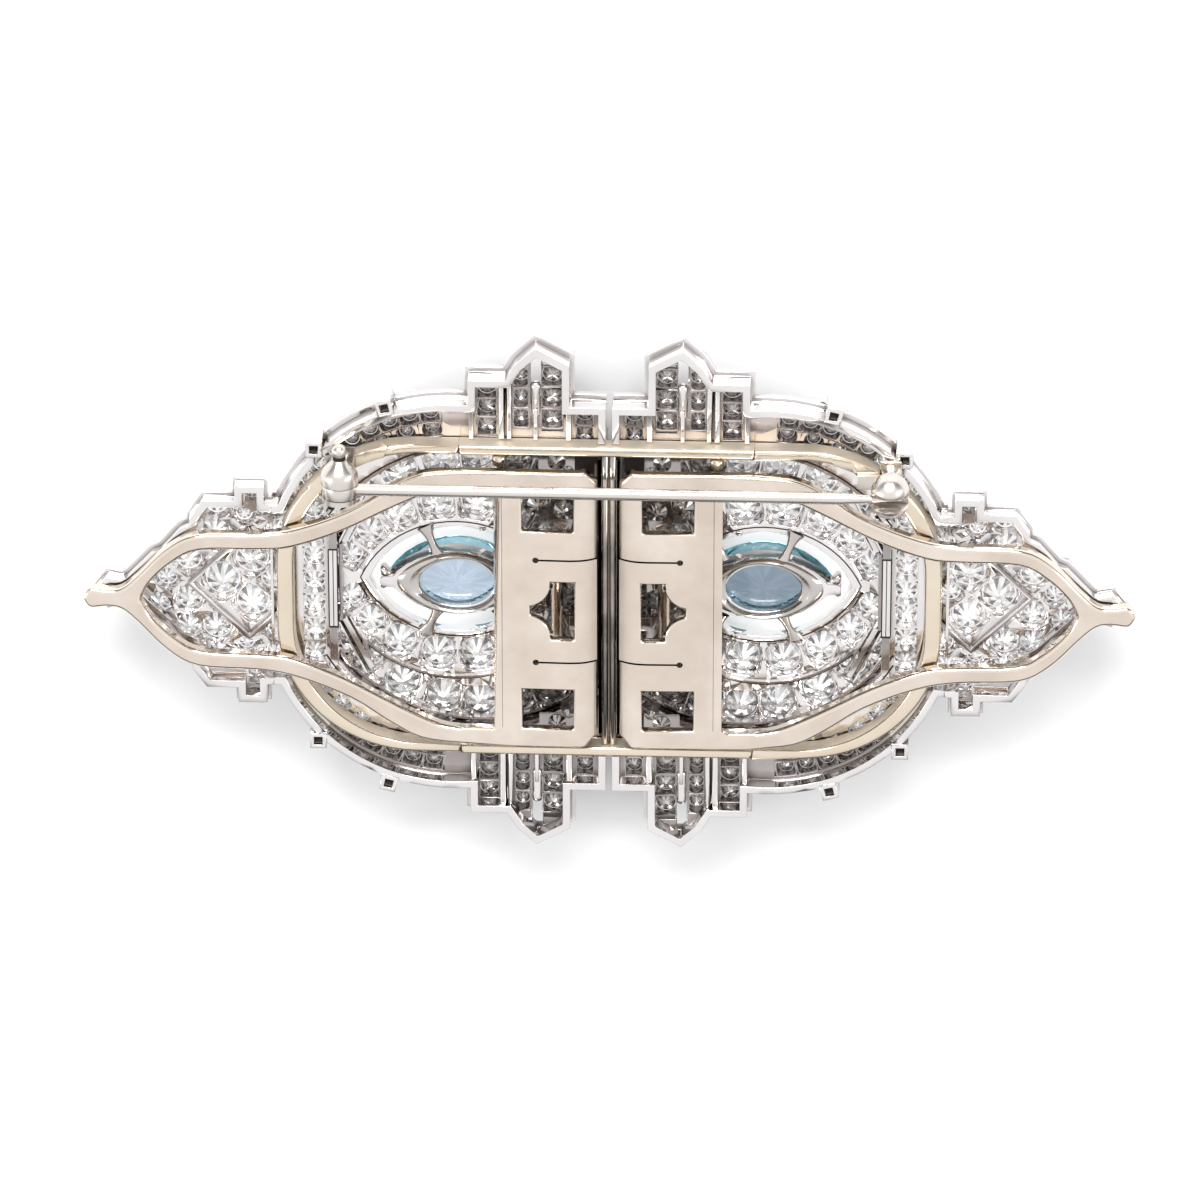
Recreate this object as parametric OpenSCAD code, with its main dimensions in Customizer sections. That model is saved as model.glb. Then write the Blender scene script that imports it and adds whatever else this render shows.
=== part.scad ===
/* [Whole jewel] */
// Half of the jewel's length, from the seam between the clips to the outer tip of a mount
half_length = 34.3; // [34.1:0.1:34.5]
// Gap between the two clips at the seam
seam_gap = 0.4; // [0.3:0.05:0.5]

/* [Tiers] */
// Height of the centre plate's front face above the gems' tables
centre_front = 1.5; // [1.4:0.05:1.6]
// Height of the arm plate's front face
arm_front = 2.5; // [2.45:0.05:2.55]
// Height of the outer ledge's front face
ledge_front = 3.4; // [3.35:0.05:3.45]
// Thickness of the centre plate and of the arm plate
plate_t = 0.95; // [0.85:0.05:1.0]
// Thickness of the outer ledge
ledge_t = 0.8; // [0.75:0.05:0.85]
// Height of the rim's back edge
rim_back = 5.4; // [5.3:0.05:5.45]
// Thickness of the rim wall
rim_t = 0.5; // [0.45:0.05:0.55]
// How far the front lip stands out past the rim wall
lip = 0.3; // [0.2:0.05:0.35]

/* [Gem] */
// Half length of the pointed oval gem
gem_l = 4.7; // [4.5:0.1:4.8]
// Half width of the gem
gem_w = 2.75; // [2.6:0.05:2.8]
// Height of the gem's girdle above its table
gem_crown = 1.4; // [1.2:0.05:1.4]
// Depth of the gem's pavilion
gem_pavilion = 1.6; // [1.4:0.1:1.6]

/* [Flap] */
// Thickness of the clip flap
flap_t = 0.8; // [0.7:0.05:0.85]
// Height of the flap's back face near the hinge
flap_back = 7.1; // [7.05:0.05:7.2]
// Slope of the flap down towards its tip, in degrees
flap_slope = 1.2; // [1.0:0.1:1.25]
// Distance of the flap's hinge axis from the seam
flap_axis_x = 1.5; // [1.5:0.05:1.55]
// Height of the flap's hinge axis
flap_axis_z = 5.6; // [5.55:0.05:5.65]
// Radius of the flap's hinge rod
rod_r = 0.22; // [0.2:0.01:0.24]

/* [Brooch frame] */
// Height of the frame band's front edge
frame_front = 4.3; // [4.3:0.05:4.4]
// Height of the frame band's back edge
frame_back = 5.65; // [5.6:0.05:5.7]
// Half length of the frame
frame_l = 22.1; // [22:0.05:22.2]
// Half width of the frame
frame_w = 11.45; // [11.4:0.05:11.5]

/* [Needle pin] */
// Radius of the pin stem
pin_r = 0.4; // [0.35:0.01:0.42]
// Height of the pin's axis
pin_z = 9.5; // [9.4:0.1:9.8]
// Distance of the pin's line from the jewel's long axis
pin_y = 10; // [9.9:0.05:10.1]
// Distance of the pin's hinge from the seam
hinge_x = 17.5; // [17.4:0.05:17.6]
// Distance of the catch from the seam
catch_x = 18.6; // [18.5:0.05:18.7]

/* [Hidden] */

$fn = 48;
platinum = [0.87, 0.86, 0.86];
white_gold = [0.85, 0.80, 0.73];
warm_gold = [0.89, 0.82, 0.71];
diamond = [0.93, 0.95, 0.98];
aquamarine = [0.66, 0.82, 0.92];

// Small gaps: between a stone and its seat, and between pieces that touch in the real jewel
seat_gap = 0.04;
seat_square = 0.05;
seat_square_t = 0.35;
run_gap = 0.05;
eps = 0.02;

// Main lines of one clip, seam at x = 0 and outer tip at -x, seen from the back
seam_x = -seam_gap / 2;
oval_c = [-10.5, 1.9];
oval_r = 12.4;
gem_c = -10.25;
eye_l = 5.85;
eye_w = 3.9;
well_c = [-8.8, -0.88];
well_r = 11.45;
well_t = 0.55;
well_x = -18.15;
centre_back = centre_front + plate_t;
arm_back = arm_front + plate_t;
ledge_back = ledge_front + ledge_t;
well_back = ledge_back;
lozenge_x = -24.1;
lozenge_d = 3.95;
seam_back = 4.85;
bar_clear_y = frame_w + 0.2;

// Points of an arc about c, from angle a0 to a1 in n steps
function arc(c, r, a0, a1, n) = [for (i = [0 : n])
    let (a = a0 + (a1 - a0) * i / n) c + r * [cos(a), sin(a)]];
// Mirror image of a path across the long axis, in reverse order, without points on that axis
function mirrored(path) = [for (i = [len(path) - 1 : -1 : 0])
    if (abs(path[i].y) > 0.001) [path[i].x, -path[i].y]];
function unit(v) = v / norm(v);
function left_normal(a, b) = let (u = unit(b - a)) [-u.y, u.x];
// A closed path moved inwards by d (outwards for a negative d) with mitred corners
function inset(path, d) = [for (i = [0 : len(path) - 1])
    let (n = len(path), before = path[(i + n - 1) % n], here = path[i], after = path[(i + 1) % n],
         na = left_normal(before, here), nb = left_normal(here, after))
    here + d * (na + nb) / (1 + na * nb)];
// A smooth curve through the points of an open path, n steps to each span
function smooth(p, n) = [for (i = [0 : len(p) - 2], k = [0 : n - 1])
    let (a = p[max(i - 1, 0)], b = p[i], c = p[i + 1], d = p[min(i + 2, len(p) - 1)], t = k / n)
    0.5 * (2 * b + (c - a) * t + (2 * a - 5 * b + 4 * c - d) * t * t + (3 * b - a - 3 * c + d) * t * t * t),
    p[len(p) - 1]];
// Half angle at which a circle of radius r reaches the distance d from its centre line
function reach(r, d) = acos(d / r);

// Outline of one mount's rim, from the seam over the tower and the oval to the tip
shoulder_y = 14.25;
step_y = 16.1;
step_x = -9.3;
arm_y = 6.95;
half_outline = concat(
    [[-half_length, 0], [-33.4, 1.15], [-32.5, 0.95], [-32.15, 1.05], [-30.4, 2.95], [-29.8, 3.2],
     [-28.5, 4.75], [-27.85, 5.0], [-27.85, 5.6], [-26.9, arm_y], [-24.8, arm_y], [-24.8, 8.05],
     [-22.85, 8.05], [-22.85, 6.7]],
    arc(oval_c, oval_r, 157.5, reach(oval_r, step_x - oval_c.x), 16),
    [[step_x, step_y], [-6.85, step_y], [-6.2, 17.2], [-4.86, 18.45], [-2.6, 17.2], [-2.6, shoulder_y],
     [seam_x, shoulder_y]]);
outline = concat(mirrored(half_outline), half_outline);
rim_path = [for (i = [len(outline) - 1 : -1 : 0]) outline[i]];

// Outline of the arm plate, set back behind the rim
arm_end = -22.4;
arm_lip = 0.2;
arm_lip_front = 4.1;
arm_join_y = 6.7;
half_arm = [[-32.4, 0], [-28.6, 3.8], [-27.3, 4.55], [-27.3, 5.4], [-26.6, 6.3], [-24.5, 6.3], [-24.5, 7.5],
    [-23.1, 7.5], [-23.1, 6.4], [arm_end + 0.1, 6.3]];
arm_outline = concat(mirrored(half_arm), half_arm);
arm_path = [for (i = [len(arm_outline) - 1 : -1 : 0]) arm_outline[i]];

// Outline of the centre plate's well, a D with its straight side towards the tip
well_a = reach(well_r, -well_x + well_c.x);
half_well = concat([[well_x, 0]], arc(well_c, well_r, 180 - well_a, 42, 18),
    [[seam_x - rim_t, well_c.y + well_r * sin(42)]]);
well = concat(mirrored(half_well), half_well);
well_path = [for (i = [len(well) - 1 : -1 : 0]) well[i]];

// A pointed oval of half length l and half width w, its tips on the x axis
function pointed_oval(l, w, n) = let (r = (l * l + w * w) / (2 * w), a = asin(l / r)) concat(
    [for (i = [0 : n - 1]) let (t = a - 2 * a * i / n) [r * sin(t), r * cos(t) - r + w]],
    [for (i = [0 : n - 1]) let (t = -a + 2 * a * i / n) [r * sin(t), r - w - r * cos(t)]]);

// Diamonds as rows of [x, y, radius, turn]; each row is laid out for y > 0 and mirrored
function on_arc(c, r, angles, radii) = [for (i = [0 : len(angles) - 1])
    [c.x + r * sin(angles[i]), c.y + r * cos(angles[i]), radii[i], -angles[i]]];
function turned(rows, turn) = [for (s = rows) [s.x, s.y, s.z, turn]];
function both(rows) = concat(rows, [for (s = rows) if (s.y > 0.01) [s.x, -s.y, s.z, -s[3]]]);

// Inner loop about the gem and the outer row of the horseshoe
loop_r = 8.15;
loop_c = [gem_c, -2.43];
loop_row = on_arc(loop_c, loop_r, [-61, -45.5, -28.3, -9.6, 9.6, 28.3, 45.5, 61],
    [0.75, 0.86, 1.0, 1.05, 1.05, 1.0, 0.9, 0.75]);
outer_row = on_arc(well_c, 10.1, [-60, -47.2, -30.8, -13.9, 0.2, 14, 27.6],
    [0.55, 0.9, 1.08, 1.1, 1.05, 1.0, 0.95]);
centre_bored = both(concat(loop_row, outer_row));
seam_column = [for (i = [-4 : 4]) [-1.75, 1.75 * i + (i > 0 ? 0.4 : i < 0 ? -0.4 : 0), 0.6]];

// Arm: stones inside the lozenge, about it, and the column beside the well
arm_bored = both(turned([[-25.9, 0, 1.1], [-23.9, 1.6, 1.05], [-22.65, 0, 0.65], [-29.6, 0, 0.6],
    [-28.15, 1.45, 0.82], [-30.15, 1.9, 0.68], [-28.2, 3.55, 0.78], [-26.3, 3.55, 0.92],
    [-24.4, 4.8, 0.5], [-26.2, 5.5, 0.68], [-24.85, 5.98, 0.5], [-23.8, 6.8, 0.45],
    [-22.2, 3.75, 0.7], [-22.5, 5.45, 0.68]], 45));
beside_well = [for (i = [-3 : 3]) [-19.75, 1.75 * i, 0.7]];

// Towers, steps, shoulders and the two rows along the oval rim, each in an open channel
tower_inner = [for (i = [0 : 2]) [-3.79, 12.85 + 1.55 * i, 0.64]];
tower_outer = [for (i = [0 : 2]) [-5.85, 12.8 + 1.5 * i, 0.47]];
step_column = [for (i = [0 : 2]) [-8.1, 12.2 + 1.38 * i, 0.61]];
shoulder_column = [for (i = [0 : 1]) [-1.65, 11.65 + 1.4 * i, 0.55]];
rim_rows = [[11.15, 0.5, 8], [10.05, 0.45, 6]]; // radius of the row, radius of the stones, how many
rim_a0 = -7;
rim_a1 = -58;
rim_stones = [for (row = rim_rows, i = [0 : row[2] - 1])
    let (a = rim_a0 + (rim_a1 - rim_a0) * i / (row[2] - 1))
    [oval_c.x + row[0] * sin(a), oval_c.y + row[0] * cos(a), row[1]]];

// An old round cut with eight crown and eight pavilion facets, table down at z = 0
crown_share = 0.36;
pavilion_share = 0.86;
table_share = 0.56;
module cut_stone(r) {
    cylinder(h = crown_share * r, r1 = table_share * r, r2 = r, $fn = 8);
    translate([0, 0, crown_share * r]) cylinder(h = pavilion_share * r, r1 = r, r2 = 0, $fn = 8);
}
module stone_field(stones, front) {
    color(diamond)
        for (s = stones)
            translate([s.x, s.y, front]) cut_stone(s.z);
}
// Round seats, opened behind each stone to a square with rounded corners
module seats(stones, front, back) {
    for (s = stones)
        translate([s.x, s.y, 0]) rotate(s[3]) {
            translate([0, 0, front - 1]) cylinder(h = back - front + 2, r = s.z + seat_gap, $fn = 24);
            half_side = s.z + seat_square;
            translate([0, 0, back - seat_square_t]) intersection() {
                cylinder(h = 2, r = 1.2 * half_side, $fn = 24);
                box(-half_side, half_side, -half_side, half_side, -1, 3);
            }
        }
}
module slab(path, z0, z1) {
    translate([0, 0, z0]) linear_extrude(z1 - z0) polygon(path);
}
module box(x0, x1, y0, y1, z0, z1) {
    translate([x0, y0, z0]) cube([x1 - x0, y1 - y0, z1 - z0]);
}
module both_sides() {
    children();
    mirror([0, 1, 0]) children();
}

// Rim wall with its wider front lip, and the thin wall along the well
module rim_wall() {
    difference() {
        union() {
            slab(rim_path, ledge_front + 0.1, rim_back);
            slab(inset(rim_path, -lip), ledge_front, ledge_front + 0.55);
        }
        slab(inset(rim_path, rim_t), ledge_front - 1, rim_back + 1);
        box(-half_length - 1, arm_end, -9, 9, ledge_front - 1, arm_lip_front);
        box(seam_x, 3, -20, 20, 0, 9);
        // lowered along the seam for the flap's rolled edge, and notched for the frame's bars
        box(-2, 1, -10.3, 10.3, seam_back, rim_back + 1);
        both_sides() box(-2, 1, 10.2, bar_clear_y, ledge_back, rim_back + 1);
    }
}
// The arm's rim, and the narrower riser that joins it to the arm plate
module arm_rim() {
    difference() {
        union() {
            slab(rim_path, arm_lip_front, rim_back + 0.05);
            slab(inset(rim_path, -arm_lip), arm_lip_front, arm_lip_front + 0.45);
        }
        slab(inset(rim_path, rim_t), arm_front - 1, rim_back + 1);
        box(arm_end, 1, -20, 20, arm_front - 1, rim_back + 1);
    }
    difference() {
        slab(inset(rim_path, 0.25), arm_back - 0.1, arm_lip_front + 0.1);
        slab(inset(arm_path, 0.3), arm_front - 1, rim_back);
        box(arm_end, 1, -20, 20, arm_front - 1, rim_back);
    }
}
module well_wall() {
    difference() {
        slab(inset(well_path, -well_t), centre_front, well_back);
        slab(well_path, centre_front - 1, well_back + 1);
        box(seam_x, 2, -20, 20, 0, 9);
        box(-2, 1, -20, 20, centre_back, 9);
    }
}
// Flat tiers that hold the stones
module centre_plate() {
    difference() {
        slab(inset(well_path, -eps), centre_front, centre_back);
        translate([gem_c, 0, 0]) slab(pointed_oval(eye_l, eye_w, 16), 0, 9);
        seats(centre_bored, centre_front, centre_back);
        box(-1.75 - 0.6 - seat_gap, -1.75 + 0.6 + seat_gap, -8.3, 8.3, 0, centre_back + 1);
    }
    // cross bars of the channel that holds the column at the seam
    for (y = [-6.5, -4.75, -3.02, -1.08, 1.08, 3.02, 4.75, 6.5])
        box(-2.5, -0.9, y - 0.12, y + 0.12, centre_front + 0.5, centre_back);
}
module arm_plate() {
    difference() {
        union() {
            slab(arm_path, arm_front, arm_back);
            intersection() {
                slab(inset(rim_path, rim_t - eps), arm_front, arm_back);
                box(arm_end - eps, well_x - well_t + eps, -arm_join_y, arm_join_y, 0, 9);
            }
        }
        seats(arm_bored, arm_front, arm_back);
        box(-19.75 - 0.74, -19.75 + 0.74, -6, 6, 0, 9);
    }
    // lozenge rail, a thin square ring on its corner
    difference() {
        translate([lozenge_x, 0, arm_back - eps]) rotate(45)
            linear_extrude(0.45) difference() {
                square(lozenge_d * sqrt(2) + 0.2, center = true);
                square(lozenge_d * sqrt(2) - 0.25, center = true);
            }
        box(-21.6, -10, -9, 9, 0, 9);
    }
}
module channel_row(r, w) {
    // a curved slot for one row of the rim
    slab(concat(arc(oval_c, r + w, 90 - rim_a0 - 4, 90 - rim_a1 + 4, 14),
                arc(oval_c, r - w, 90 - rim_a1 + 4, 90 - rim_a0 - 4, 14)), 0, 9);
}
module ledge_plate() {
    difference() {
        slab(inset(rim_path, rim_t - eps), ledge_front, ledge_back);
        slab(inset(well_path, -well_t + eps), 0, 9);
        box(-half_length - 1, well_x - well_t + eps, -arm_y + 0.4, arm_y - 0.4, 0, 9);
        box(-half_length - 1, -21.4, -9, 9, 0, 9);
        both_sides() {
            for (row = rim_rows) channel_row(row[0], row[1] + seat_gap);
            box(-4.47, -3.05, 11.9, 17, 0, 9);
            box(-6.37, -5.33, 12.2, 16.6, 0, 9);
            box(-5.2, -4.5, 13.9, 17.7, 0, 9);
            box(-8.78, -7.42, 11.5, 15.65, 0, 9);
            box(-2.24, -1.06, 11.05, 13.65, 0, 9);
        }
    }
    // upright rails that frame the columns of the towers
    both_sides() {
        box(-7.3, -6.95, bar_clear_y, 15.65, ledge_front, 4.9);
        box(-6.75, -6.45, bar_clear_y, 15.65, ledge_front, 4.9);
        box(-4.98, -4.72, bar_clear_y, 13.9, ledge_front, 5.0);
        box(-2.85, -2.5, bar_clear_y, 13.8, ledge_front, 5.0);
        box(-9.25, -8.95, bar_clear_y, 13.9, ledge_front, 5.0);
        // small cross bars that carry the stones in their channels
        for (s = concat(tower_inner, step_column))
            box(s.x - 0.72, s.x + 0.72, s.y + 0.63, s.y + 0.75, ledge_front + 0.4, ledge_back);
        for (s = tower_outer)
            box(s.x - 0.55, s.x + 0.55, s.y + 0.69, s.y + 0.81, ledge_front + 0.4, ledge_back);
    }
}
// Hollow square peg on the outside of the rim
module peg(p, turn) {
    translate([p.x, p.y, 0]) rotate(turn) difference() {
        box(-0.56, 0.56, -0.56, 0.56, ledge_front + 0.1, rim_back + 0.1);
        box(-0.29, 0.29, -0.29, 0.29, 4.4, rim_back + 1);
    }
}
// Basket of the gem: an oval ring behind the pavilion, claws and struts
ring_w = 2.3;
ring_z = [2.62, 3.08];
ring_hole = [2.55, 1.72];
module basket() {
    translate([gem_c, 0, 0]) {
        difference() {
            slab(pointed_oval(gem_l - 0.1, ring_w, 12), ring_z[0], ring_z[1]);
            slab([for (i = [0 : 35]) [ring_hole.x * cos(10 * i), ring_hole.y * sin(10 * i)]], 1, 4);
        }
        for (side = [-1, 1]) {
            // end claw, from the ring round the gem's tip to the front
            scale([side, 1, 1]) {
                slab([[gem_l - 1.2, -0.75], [gem_l - 0.5, -0.42], [gem_l + 0.2, -0.36], [gem_l + 0.42, -0.22],
                      [gem_l + 0.42, 0.22], [gem_l + 0.2, 0.36], [gem_l - 0.5, 0.42], [gem_l - 1.2, 0.75]],
                     ring_z[0], ring_z[1]);
                slab([[gem_l + 0.08, -0.34], [gem_l + 0.2, -0.34], [gem_l + 0.42, -0.2], [gem_l + 0.42, 0.2],
                      [gem_l + 0.2, 0.34], [gem_l + 0.08, 0.34]], 0.75, ring_z[1] - 0.1);
            }
            // struts to the edge of the opening
            for (dx = [-1.7, 1.7])
                translate([dx, side * 2.75, centre_back + 0.1]) rotate([side * 90, 0, 0])
                    rotate(dx > 0 ? -14 : 14) cylinder(h = 2.3, r = 0.22, center = true, $fn = 24);
        }
    }
}
// Block under the flap that holds the hinge rod
lug_y = 3.4;
lug_r = 0.42;
module hinge_lug() {
    difference() {
        union() {
            both_sides()
                box(-flap_axis_x - lug_r, -flap_axis_x + lug_r, 2.4, lug_y, centre_back, flap_axis_z);
            box(-flap_axis_x - lug_r, -flap_axis_x + lug_r, -lug_y, lug_y, 4.9, flap_axis_z);
            both_sides() box(-2.75, seam_x - rim_t + eps, 2.4, lug_y, centre_back - 0.2, centre_back + 0.5);
            translate([-flap_axis_x, 0, flap_axis_z]) rotate([90, 0, 0])
                cylinder(h = 2 * lug_y, r = lug_r, center = true);
        }
        translate([-flap_axis_x, 0, flap_axis_z]) rotate([90, 0, 0])
            cylinder(h = 30, r = rod_r + 0.02, center = true);
    }
}
module seam_wall() {
    difference() {
        box(seam_x - rim_t, seam_x, -shoulder_y, shoulder_y, centre_front, ledge_front + 0.2);
        box(-5, 5, 11, 20, 0, ledge_front);
        box(-5, 5, -20, -11, 0, ledge_front);
    }
}
module left_mount() {
    color(platinum) {
        rim_wall();
        arm_rim();
        well_wall();
        seam_wall();
        centre_plate();
        arm_plate();
        ledge_plate();
        both_sides() {
            peg([-19.5, 10.85], 0);
            peg([-14.8, 13.98], 14);
        }
        basket();
        hinge_lug();
    }
}
// Faceted pointed oval gem, table down
module left_gem() {
    n = 10;
    count = 2 * n;
    rings = [[0.56, 0.56, 0], [0.82, 0.82, 0.75 * gem_crown], [1, 1, gem_crown], [1, 1, gem_crown + 0.15],
             [0.62, 0.6, gem_crown + 0.15 + 0.6 * gem_pavilion]];
    tip = gem_crown + 0.15 + gem_pavilion;
    points = concat([for (k = rings, p = pointed_oval(gem_l, gem_w, n)) [p.x * k[0], p.y * k[1], k[2]]],
                    [[0, 0, tip]]);
    walls = [for (k = [0 : len(rings) - 2], i = [0 : count - 1])
        [k * count + i, k * count + (i + 1) % count, (k + 1) * count + (i + 1) % count, (k + 1) * count + i]];
    last = (len(rings) - 1) * count;
    color(aquamarine) translate([gem_c, 0, 0]) polyhedron(points, concat(
        [[for (i = [count - 1 : -1 : 0]) i]], walls,
        [for (i = [0 : count - 1]) [last + i, last + (i + 1) % count, len(points) - 1]]));
}
stone_sink = 0.08;
module left_arm_stones() {
    stone_field(arm_bored, arm_front - stone_sink);
    stone_field(beside_well, arm_front - stone_sink);
}
module left_centre_stones() {
    stone_field(centre_bored, centre_front - stone_sink);
    stone_field(seam_column, centre_front - stone_sink);
}
module left_rim_stones() {
    stone_field(both(turned(concat(tower_inner, tower_outer, step_column, shoulder_column, rim_stones), 0)),
        ledge_front - stone_sink);
}

// Clip flap, hinged near the seam, with a bent edge, windows and a slit tongue
bend_r = 3;
bend_x = -2.5;
edge_x = -0.72;
plate_x = -7.55;
half_flap = concat(
    smooth([[-35, 0], [-34.5, 0.72], [-33.4, 0.62], [-32.4, 0.78], [-31.3, 1.75], [-29.4, 3.75], [-27.3, 4.9],
            [-23.2, 5.08], [-20.5, 5.6], [-17.1, 7.0], [-14.5, 8.75], [-12.4, 9.85], [-9.5, 10.2]], 4),
    [[-1.5, 10.2], [edge_x, 9.3]]);
flap_outline = concat(mirrored(half_flap), half_flap);
half_arch = concat(
    smooth([[-31.05, 0], [-30.4, 1.3], [-28.9, 2.8], [-27.1, 3.75], [-23.3, 3.9], [-21, 4.15], [-17.6, 5.45],
            [-13.9, 7.45], [-11.2, 8.7], [-9.6, 8.95]], 4),
    [[plate_x, 8.95]]);
flap_arch = concat(mirrored(half_arch), half_arch);
slit_y = 3.8;
slit_w = 0.13;
module flap_profile() {
    // section of the flap: flat, then bent down towards the seam
    steps = 8;
    top = [for (i = [0 : steps]) let (x = bend_x + (edge_x - bend_x) * i / steps)
        [x, flap_back - bend_r + sqrt(bend_r * bend_r - (x - bend_x) * (x - bend_x))]];
    under = [for (i = [steps : -1 : 0]) [top[i].x, top[i].y - flap_t]];
    translate([0, 12, 0]) rotate([90, 0, 0]) linear_extrude(24)
        polygon(concat([[-36, flap_back]], top, under, [[-36, flap_back - flap_t]]));
}
module flap_windows() {
    both_sides() box(-5.67, -2.24, 5.87, 8.82, 0, 20);
    box(-3.76, -2.18, -2.14, 2.14, 0, 20);
    slab(concat([[-3.7, 1.7]], arc([-5.4, 1.95], 1.65, -9, -80, 6), [[-5.12, 0]],
                arc([-5.4, -1.95], 1.65, 80, 9, 6), [[-3.7, -1.7]]), 0, 20);
    both_sides() {
        box(-4.75, 0, slit_y - slit_w / 2, slit_y + slit_w / 2, 0, 20);
        translate([-4.75, slit_y, 0]) cylinder(h = 20, r = 0.21);
    }
}
module left_flap() {
    barrel_r = 0.58;
    color(white_gold)
        translate([-flap_axis_x, 0, flap_axis_z]) rotate([0, -flap_slope, 0])
        translate([flap_axis_x, 0, -flap_axis_z]) difference() {
            union() {
                intersection() {
                    flap_profile();
                    slab([for (i = [len(flap_outline) - 1 : -1 : 0]) flap_outline[i]], 0, 20);
                }
                both_sides() translate([-flap_axis_x, 9, flap_axis_z]) rotate([90, 0, 0])
                    cylinder(h = 9 - slit_y - 0.1, r = barrel_r);
            }
            slab([for (i = [len(flap_arch) - 1 : -1 : 0]) flap_arch[i]], 0, 20);
            flap_windows();
            translate([-flap_axis_x, 0, flap_axis_z]) rotate([90, 0, 0])
                cylinder(h = 30, r = rod_r + run_gap, center = true);
        }
}
module left_flap_rod() {
    color(white_gold) translate([-flap_axis_x, 0, flap_axis_z]) rotate([90, 0, 0])
        cylinder(h = 17.6, r = rod_r, center = true);
}

// Brooch frame: rounded band on edge, centre bar, hinge post and catch post
band_outer_r = 9.2;
band_inner_r = 8.5;
module rounded_plate(l, w, r, z0, z1) {
    translate([0, 0, z0]) linear_extrude(z1 - z0) polygon(concat(
        arc([l - r, w - r], r, 0, 90, 18), arc([r - l, w - r], r, 90, 180, 18),
        arc([r - l, r - w], r, 180, 270, 18), arc([l - r, r - w], r, 270, 360, 18)));
}
bell = [[0, 0], [1.18, 0], [1.22, 0.35], [1.12, 0.8], [0.75, 1.3], [0.45, 1.75], [0, 1.75]];
eye_y = [pin_y - 0.4, pin_y + 0.4];
rivet_r = 0.35;
post_z = rim_back + 0.2;
module on_hinge_axis(y) {
    translate([-hinge_x, y, pin_z]) rotate([-90, 0, 0]) children();
}
module catch_body() {
    // rounded knob with an open slot for the point of the pin
    difference() {
        translate([catch_x, 0, pin_z]) rotate([-90, 0, 0]) rotate_extrude() polygon(
            concat([[0, 8.75], [0.7, 8.75]], smooth([[0.85, 8.8], [1.2, 9.4], [1.28, 10.2], [1.15, 10.9],
                   [0.7, 11.6], [0.4, 12.15]], 4), [[0, 12.15]]));
        box(catch_x - 3, catch_x + 3, pin_y - pin_r - 0.12, pin_y + pin_r + 0.12,
            pin_z - pin_r - 0.1, pin_z + 4);
    }
}
module brooch_frame() {
    color(warm_gold) {
        difference() {
            rounded_plate(frame_l, frame_w, band_outer_r, frame_front, frame_back);
            rounded_plate(frame_l - 1.13, frame_w - 0.65, band_inner_r, 0, 20);
        }
        // middle bars, a little prouder than the curved ends
        for (side = [-1, 1])
            translate([0, side * (frame_w - 0.3), 0])
                box(-9.9, 9.6, -0.36, 0.36, frame_front + 0.1, frame_back + 0.12);
        // centre bar over the seam
        box(-0.36, 0.36, -frame_w + 0.3, frame_w - 0.3, seam_back + 0.12, seam_back + 0.6);
        // small posts under the upper bar
        for (x = [-7.3, 7.1])
            translate([x, frame_w - 1.2, frame_front]) cylinder(h = 1.1, r = 0.42);
        box(-7.5, -7.1, frame_w - 1.2, frame_w - 0.4, frame_front, frame_front + 0.8);
        box(6.9, 7.3, frame_w - 1.2, frame_w - 0.4, frame_front, frame_front + 0.8);
        // hinge post with its bell-shaped ear and thin ear
        difference() {
            union() {
                on_hinge_axis(eye_y[1] + run_gap) rotate_extrude() polygon(bell);
                on_hinge_axis(eye_y[0] - run_gap - 0.35) cylinder(h = 0.35, r = 1.15);
                box(-hinge_x - 0.75, -hinge_x + 0.75, eye_y[1] + run_gap, eye_y[1] + 0.75, post_z, pin_z);
                box(-hinge_x - 0.75, -hinge_x + 0.75, eye_y[0] - run_gap - 0.35, eye_y[0] - run_gap,
                    post_z, pin_z);
                box(-hinge_x - 0.75, -hinge_x + 0.75, eye_y[0] - 0.3, eye_y[1] + 0.3,
                    frame_front + 0.2, pin_z - 1.35);
            }
            on_hinge_axis(0) cylinder(h = 14, r = rivet_r + 0.02);
        }
        // catch post
        catch_body();
        box(catch_x - 0.7, catch_x + 0.7, 9.35, 10.9, post_z, pin_z - 0.8);
        box(catch_x - 2.2, catch_x - 0.2, 9.0, 10.0, frame_front + 0.2, post_z + 0.5);
    }
}
module pin_rivet() {
    color(warm_gold) {
        on_hinge_axis(eye_y[0] - 0.55) cylinder(h = 3.6, r = rivet_r);
        on_hinge_axis(12.75) sphere(r = 0.5);
    }
}
module needle_pin() {
    pin_end = catch_x + 0.75;
    color(white_gold) difference() {
        union() {
            on_hinge_axis(eye_y[0]) cylinder(h = 0.8, r = 1.15);
            translate([-hinge_x, pin_y, pin_z]) rotate([0, 90, 0]) {
                cylinder(h = pin_end + hinge_x - 4, r = pin_r);
                translate([0, 0, pin_end + hinge_x - 4]) cylinder(h = 4, r1 = pin_r, r2 = 0.1);
            }
        }
        on_hinge_axis(0) cylinder(h = 14, r = rivet_r + run_gap);
    }
}

module across() { mirror([1, 0, 0]) children(); }
left_mount();
across() left_mount();  // right_mount
left_gem();
across() left_gem();  // right_gem
left_arm_stones();
across() left_arm_stones();  // right_arm_stones
left_centre_stones();
across() left_centre_stones();  // right_centre_stones
left_rim_stones();
across() left_rim_stones();  // right_rim_stones
left_flap();
across() left_flap();  // right_flap
left_flap_rod();
across() left_flap_rod();  // right_flap_rod
brooch_frame();
pin_rivet();
needle_pin();
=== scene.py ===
"""The looks of the double clip brooch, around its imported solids."""
import math

import bmesh
import bpy
from mathutils import Matrix, Vector


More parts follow.
